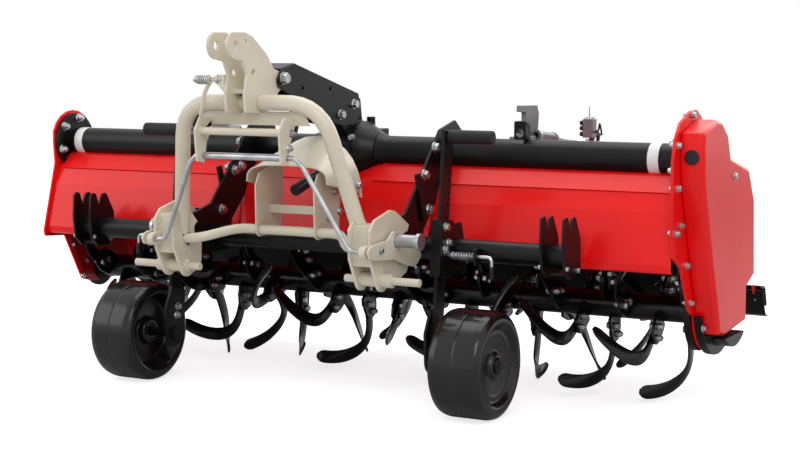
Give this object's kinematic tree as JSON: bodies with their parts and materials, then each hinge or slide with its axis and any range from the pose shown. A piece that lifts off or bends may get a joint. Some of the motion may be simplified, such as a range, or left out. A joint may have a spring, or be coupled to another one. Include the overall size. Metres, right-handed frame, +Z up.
{
  "type": "rotary tiller",
  "caption": "Three-point-hitch rotary tiller with quick-hitch frame, hooded rotor, side chain case, gauge wheels and hinged levelling board.",
  "frame": {"origin": "on the floor under the middle of the bounding box, as the machine stands parked on its gauge wheels and rotor tines", "axes": "+X towards the chain case (on the right when seen from the tractor), -Y towards the tractor, +Z up"},
  "size_m": [2.5934, 1.458, 1.19],
  "materials": {
    "red_paint": "gloss",
    "dark_red_paint": "satin",
    "cream_paint": "gloss",
    "black_paint": "satin",
    "blade_steel": "satin",
    "grey_paint": "satin",
    "zinc_steel": "plated",
    "wheel_rubber": "smooth",
    "grip_rubber": "matte"
  },
  "bodies": {
    "frame": {"main_pipe_left": "black_paint", "link_plate_left": "black_paint", "hitch_pin_left": "zinc_steel", "main_pipe_right": "black_paint", "link_plate_right": "black_paint", "hitch_pin_right": "zinc_steel", "gearbox": "black_paint", "top_mast": "black_paint", "tool_bar": "black_paint", "notch_bracket_left": "black_paint", "notch_bracket_right": "black_paint", "post_clamp_left": "black_paint", "lock_pin_left": "zinc_steel", "post_clamp_right": "black_paint", "lock_pin_right": "zinc_steel", "hood_left": "red_paint", "hood_center": "red_paint", "hood_right": "red_paint", "hood_rear": "red_paint", "side_plate_left": "red_paint", "side_guard_left": "dark_red_paint", "rotor_bearing_left": "black_paint", "chain_case_back": "red_paint", "chain_case_cover": "red_paint", "chain_case_guard": "black_paint", "rotor_shield_right": "black_paint", "sensor_box": "grey_paint", "rod_bracket_left": "grey_paint", "rod_bracket_right": "grey_paint", "hitch_arch": "cream_paint", "top_bracket": "cream_paint", "release_frame": "cream_paint", "release_lever": "cream_paint", "release_rod": "zinc_steel", "lower_bracket_left": "cream_paint", "lower_bracket_right": "cream_paint", "cross_tube": "cream_paint", "pto_shield": "cream_paint", "shield_frame": "cream_paint"},
    "input_shaft": {"input_shaft": "black_paint"},
    "wheel_post_left": {"wheel_post_left": "black_paint", "post_grip_left": "grip_rubber"},
    "gauge_wheel_left": {"wheel_left": "wheel_rubber"},
    "wheel_post_right": {"wheel_post_right": "black_paint", "post_grip_right": "grip_rubber"},
    "gauge_wheel_right": {"wheel_right": "wheel_rubber"},
    "rotor": {"rotor_section_1": "blade_steel", "rotor_section_2": "blade_steel", "rotor_section_3": "blade_steel", "rotor_section_4": "blade_steel"},
    "rear_board": {"rear_board": "black_paint"},
    "pressure_rod_left": {"pressure_rod_left": "zinc_steel"},
    "board_extension_left": {"board_extension_left": "black_paint"},
    "pressure_rod_right": {"pressure_rod_right": "zinc_steel"},
    "board_extension_right": {"board_extension_right": "black_paint"}
  },
  "joints": [
    {"name": "rotor_spin", "type": "hinge", "parent": "frame", "child": "rotor", "pos_m": [-0.004, 0.225, 0.306], "axis": [1, 0, 0], "continuous": true},
    {"name": "input_spin", "type": "hinge", "parent": "frame", "child": "input_shaft", "pos_m": [-0.004, -0.04, 0.76], "axis": [0, -0.9594, -0.282], "continuous": true},
    {"name": "wheel_height_left", "type": "slide", "parent": "frame", "child": "wheel_post_left", "axis": [0, 0.1115, 0.9938], "range_m": [-0.195, 0.078]},
    {"name": "wheel_spin_left", "type": "hinge", "parent": "wheel_post_left", "child": "gauge_wheel_left", "pos_m": [-0.656, -0.295, 0.17], "axis": [1, 0, 0], "continuous": true},
    {"name": "wheel_height_right", "type": "slide", "parent": "frame", "child": "wheel_post_right", "axis": [0, 0.1115, 0.9938], "range_m": [-0.195, 0.078]},
    {"name": "wheel_spin_right", "type": "hinge", "parent": "wheel_post_right", "child": "gauge_wheel_right", "pos_m": [0.648, -0.295, 0.17], "axis": [1, 0, 0], "continuous": true},
    {"name": "board_swing", "type": "hinge", "parent": "frame", "child": "rear_board", "pos_m": [-0.004, 0.523, 0.472], "axis": [1, 0, 0], "range_deg": [0, 40]},
    {"name": "pressure_rod_slide_left", "type": "slide", "parent": "frame", "child": "pressure_rod_left", "axis": [0, 0.9945, -0.1045], "range_m": [-0.254, 0]},
    {"name": "board_extension_fold_left", "type": "hinge", "parent": "rear_board", "child": "board_extension_left", "pos_m": [-1.29, 0.63012, 0.27605], "axis": [0, -0.337, 0.9415], "range_deg": [0, 175]},
    {"name": "pressure_rod_slide_right", "type": "slide", "parent": "frame", "child": "pressure_rod_right", "axis": [0, 0.9945, -0.1045], "range_m": [-0.254, 0]},
    {"name": "board_extension_fold_right", "type": "hinge", "parent": "rear_board", "child": "board_extension_right", "pos_m": [1.29, 0.63012, 0.27605], "axis": [0, 0.337, -0.9415], "range_deg": [0, 175]}
  ],
  "couplings": [
    {"joint": "input_spin", "follows": "rotor_spin", "ratio": 2.5},
    {"joint": "pressure_rod_slide_left", "follows": "board_swing", "m_per_rad": -0.36156},
    {"joint": "pressure_rod_slide_right", "follows": "board_swing", "m_per_rad": -0.36156}
  ]
}
